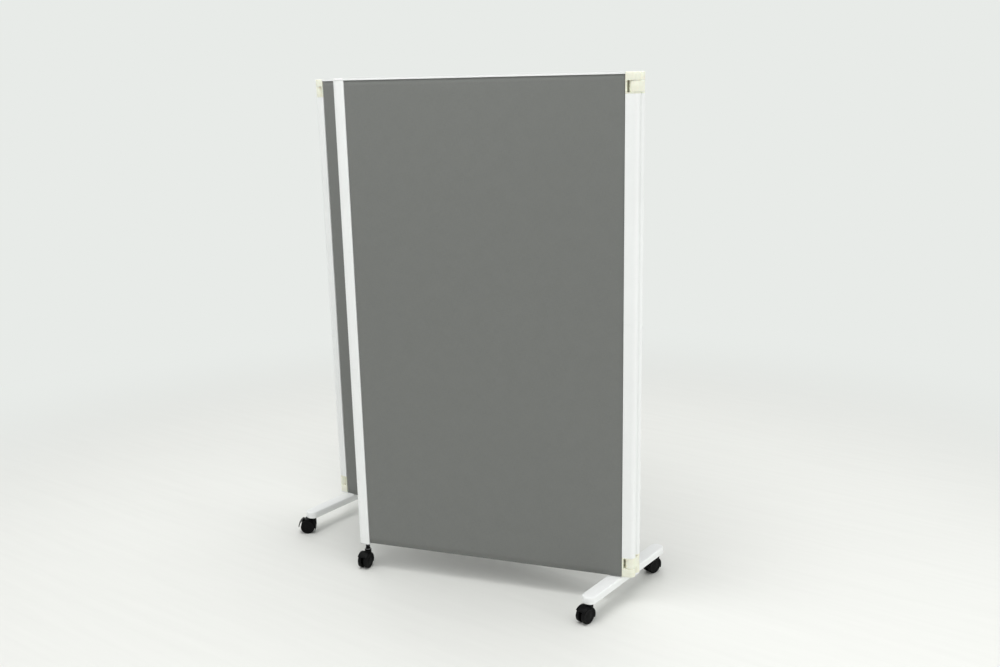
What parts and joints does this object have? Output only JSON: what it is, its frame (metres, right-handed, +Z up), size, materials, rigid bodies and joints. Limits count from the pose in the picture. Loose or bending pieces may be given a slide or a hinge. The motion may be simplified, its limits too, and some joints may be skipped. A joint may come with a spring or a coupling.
{
  "type": "rolling partition",
  "caption": "Three-leaf grey fabric screen with white posts, double-pivot hinges and T-feet on black twin-wheel casters",
  "frame": {"origin": "on the floor, under the middle of the centre panel", "axes": "X along the centre panel, the front wing hinged at +X and folded to -Y, +Z up"},
  "size_m": [1.24, 0.6602, 1.53],
  "materials": {
    "fabric": "matte",
    "board": "matte",
    "white_paint": "satin",
    "cream_plastic": "satin",
    "white_plastic": "satin",
    "steel": "satin",
    "black_plastic": "gloss"
  },
  "bodies": {
    "centre_panel": {"centre_board": "board", "centre_fabric": "fabric", "centre_top_rail": "white_paint", "centre_bottom_rail": "white_paint", "centre_right_post": "white_paint", "centre_right_fork_top": "cream_plastic", "centre_right_fork_bottom": "cream_plastic", "centre_left_post": "white_paint", "centre_left_fork_top": "cream_plastic", "centre_left_fork_bottom": "cream_plastic", "foot_right": "white_paint", "foot_left": "white_paint", "caster_right_front_stem": "steel", "caster_right_rear_stem": "steel", "caster_left_front_stem": "steel", "caster_left_rear_stem": "steel"},
    "front_wing_links": {"front_wing_link_top": "cream_plastic", "front_wing_link_bottom": "cream_plastic"},
    "front_wing": {"front_wing_board": "board", "front_wing_fabric": "fabric", "front_wing_top_rail": "white_paint", "front_wing_bottom_rail": "white_paint", "front_wing_hinge_post": "white_paint", "front_wing_hinge_fork_top": "cream_plastic", "front_wing_hinge_fork_bottom": "cream_plastic", "front_wing_free_post": "white_paint", "front_wing_post_cap": "white_plastic", "caster_front_wing_stem": "steel"},
    "rear_wing_links": {"rear_wing_link_top": "cream_plastic", "rear_wing_link_bottom": "cream_plastic"},
    "rear_wing": {"rear_wing_board": "board", "rear_wing_fabric": "fabric", "rear_wing_top_rail": "white_paint", "rear_wing_bottom_rail": "white_paint", "rear_wing_hinge_post": "white_paint", "rear_wing_hinge_fork_top": "cream_plastic", "rear_wing_hinge_fork_bottom": "cream_plastic", "rear_wing_free_post": "white_paint", "rear_wing_post_cap": "white_plastic", "caster_rear_wing_stem": "steel"},
    "caster_right_front_hood": {"caster_right_front_hood": "black_plastic"},
    "caster_right_front_wheel_a": {"caster_right_front_wheel_a": "black_plastic"},
    "caster_right_front_wheel_b": {"caster_right_front_wheel_b": "black_plastic"},
    "caster_right_rear_hood": {"caster_right_rear_hood": "black_plastic"},
    "caster_right_rear_wheel_a": {"caster_right_rear_wheel_a": "black_plastic"},
    "caster_right_rear_wheel_b": {"caster_right_rear_wheel_b": "black_plastic"},
    "caster_right_rear_brake_pedal": {"caster_right_rear_brake_pedal": "black_plastic"},
    "caster_left_front_hood": {"caster_left_front_hood": "black_plastic"},
    "caster_left_front_wheel_a": {"caster_left_front_wheel_a": "black_plastic"},
    "caster_left_front_wheel_b": {"caster_left_front_wheel_b": "black_plastic"},
    "caster_left_front_brake_pedal": {"caster_left_front_brake_pedal": "black_plastic"},
    "caster_left_rear_hood": {"caster_left_rear_hood": "black_plastic"},
    "caster_left_rear_wheel_a": {"caster_left_rear_wheel_a": "black_plastic"},
    "caster_left_rear_wheel_b": {"caster_left_rear_wheel_b": "black_plastic"},
    "caster_front_wing_hood": {"caster_front_wing_hood": "black_plastic"},
    "caster_front_wing_wheel_a": {"caster_front_wing_wheel_a": "black_plastic"},
    "caster_front_wing_wheel_b": {"caster_front_wing_wheel_b": "black_plastic"},
    "caster_rear_wing_hood": {"caster_rear_wing_hood": "black_plastic"},
    "caster_rear_wing_wheel_a": {"caster_rear_wing_wheel_a": "black_plastic"},
    "caster_rear_wing_wheel_b": {"caster_rear_wing_wheel_b": "black_plastic"}
  },
  "joints": [
    {"name": "front_wing_link_pivot", "type": "hinge", "parent": "centre_panel", "child": "front_wing_links", "pos_m": [0.6, 0, 0.765], "axis": [0, 0, 1], "range_deg": [-8.4, 171.6]},
    {"name": "front_wing_pivot", "type": "hinge", "parent": "front_wing_links", "child": "front_wing", "pos_m": [0.60497, -0.03363, 0.765], "axis": [0, 0, 1], "range_deg": [-8.4, 171.6]},
    {"name": "rear_wing_link_pivot", "type": "hinge", "parent": "centre_panel", "child": "rear_wing_links", "pos_m": [-0.6, 0, 0.765], "axis": [0, 0, 1], "range_deg": [-8.4, 171.6]},
    {"name": "rear_wing_pivot", "type": "hinge", "parent": "rear_wing_links", "child": "rear_wing", "pos_m": [-0.60497, 0.03363, 0.765], "axis": [0, 0, 1], "range_deg": [-8.4, 171.6]},
    {"name": "caster_right_front_swivel", "type": "hinge", "parent": "centre_panel", "child": "caster_right_front_hood", "pos_m": [0.566, -0.198, 0.05], "axis": [0, 0, 1], "continuous": true},
    {"name": "caster_right_front_axle_a", "type": "hinge", "parent": "caster_right_front_hood", "child": "caster_right_front_wheel_a", "pos_m": [0.56253, -0.2177, 0.024], "axis": [0.9848, -0.1736, 0], "continuous": true},
    {"name": "caster_right_front_axle_b", "type": "hinge", "parent": "caster_right_front_hood", "child": "caster_right_front_wheel_b", "pos_m": [0.56253, -0.2177, 0.024], "axis": [0.9848, -0.1736, 0], "continuous": true},
    {"name": "caster_right_rear_swivel", "type": "hinge", "parent": "centre_panel", "child": "caster_right_rear_hood", "pos_m": [0.566, 0.198, 0.05], "axis": [0, 0, 1], "continuous": true},
    {"name": "caster_right_rear_axle_a", "type": "hinge", "parent": "caster_right_rear_hood", "child": "caster_right_rear_wheel_a", "pos_m": [0.56082, 0.17868, 0.024], "axis": [0.9659, -0.2588, 0], "continuous": true},
    {"name": "caster_right_rear_axle_b", "type": "hinge", "parent": "caster_right_rear_hood", "child": "caster_right_rear_wheel_b", "pos_m": [0.56082, 0.17868, 0.024], "axis": [0.9659, -0.2588, 0], "continuous": true},
    {"name": "caster_right_rear_brake_pedal", "type": "hinge", "parent": "caster_right_rear_hood", "child": "caster_right_rear_brake_pedal", "pos_m": [0.5573, 0.16553, 0.04961], "axis": [0.9659, -0.2588, 0], "range_deg": [0, 7]},
    {"name": "caster_left_front_swivel", "type": "hinge", "parent": "centre_panel", "child": "caster_left_front_hood", "pos_m": [-0.566, -0.198, 0.05], "axis": [0, 0, 1], "continuous": true},
    {"name": "caster_left_front_axle_a", "type": "hinge", "parent": "caster_left_front_hood", "child": "caster_left_front_wheel_a", "pos_m": [-0.58109, -0.21112, 0.024], "axis": [0.6561, -0.7547, 0], "continuous": true},
    {"name": "caster_left_front_axle_b", "type": "hinge", "parent": "caster_left_front_hood", "child": "caster_left_front_wheel_b", "pos_m": [-0.58109, -0.21112, 0.024], "axis": [0.6561, -0.7547, 0], "continuous": true},
    {"name": "caster_left_front_brake_pedal", "type": "hinge", "parent": "caster_left_front_hood", "child": "caster_left_front_brake_pedal", "pos_m": [-0.59137, -0.22005, 0.04961], "axis": [0.6561, -0.7547, 0], "range_deg": [0, 7]},
    {"name": "caster_left_rear_swivel", "type": "hinge", "parent": "centre_panel", "child": "caster_left_rear_hood", "pos_m": [-0.566, 0.198, 0.05], "axis": [0, 0, 1], "continuous": true},
    {"name": "caster_left_rear_axle_a", "type": "hinge", "parent": "caster_left_rear_hood", "child": "caster_left_rear_wheel_a", "pos_m": [-0.57747, 0.18162, 0.024], "axis": [0.8192, -0.5736, 0], "continuous": true},
    {"name": "caster_left_rear_axle_b", "type": "hinge", "parent": "caster_left_rear_hood", "child": "caster_left_rear_wheel_b", "pos_m": [-0.57747, 0.18162, 0.024], "axis": [0.8192, -0.5736, 0], "continuous": true},
    {"name": "caster_front_wing_swivel", "type": "hinge", "parent": "front_wing", "child": "caster_front_wing_hood", "pos_m": [-0.22407, -0.28394, 0.05], "axis": [0, 0, 1], "continuous": true},
    {"name": "caster_front_wing_axle_a", "type": "hinge", "parent": "caster_front_wing_hood", "child": "caster_front_wing_wheel_a", "pos_m": [-0.21923, -0.30334, 0.024], "axis": [0.9703, 0.2419, 0], "continuous": true},
    {"name": "caster_front_wing_axle_b", "type": "hinge", "parent": "caster_front_wing_hood", "child": "caster_front_wing_wheel_b", "pos_m": [-0.21923, -0.30334, 0.024], "axis": [0.9703, 0.2419, 0], "continuous": true},
    {"name": "caster_rear_wing_swivel", "type": "hinge", "parent": "rear_wing", "child": "caster_rear_wing_hood", "pos_m": [0.22407, 0.28394, 0.05], "axis": [0, 0, 1], "continuous": true},
    {"name": "caster_rear_wing_axle_a", "type": "hinge", "parent": "caster_rear_wing_hood", "child": "caster_rear_wing_wheel_a", "pos_m": [0.21923, 0.30334, 0.024], "axis": [-0.9703, -0.2419, 0], "continuous": true},
    {"name": "caster_rear_wing_axle_b", "type": "hinge", "parent": "caster_rear_wing_hood", "child": "caster_rear_wing_wheel_b", "pos_m": [0.21923, 0.30334, 0.024], "axis": [-0.9703, -0.2419, 0], "continuous": true}
  ]
}
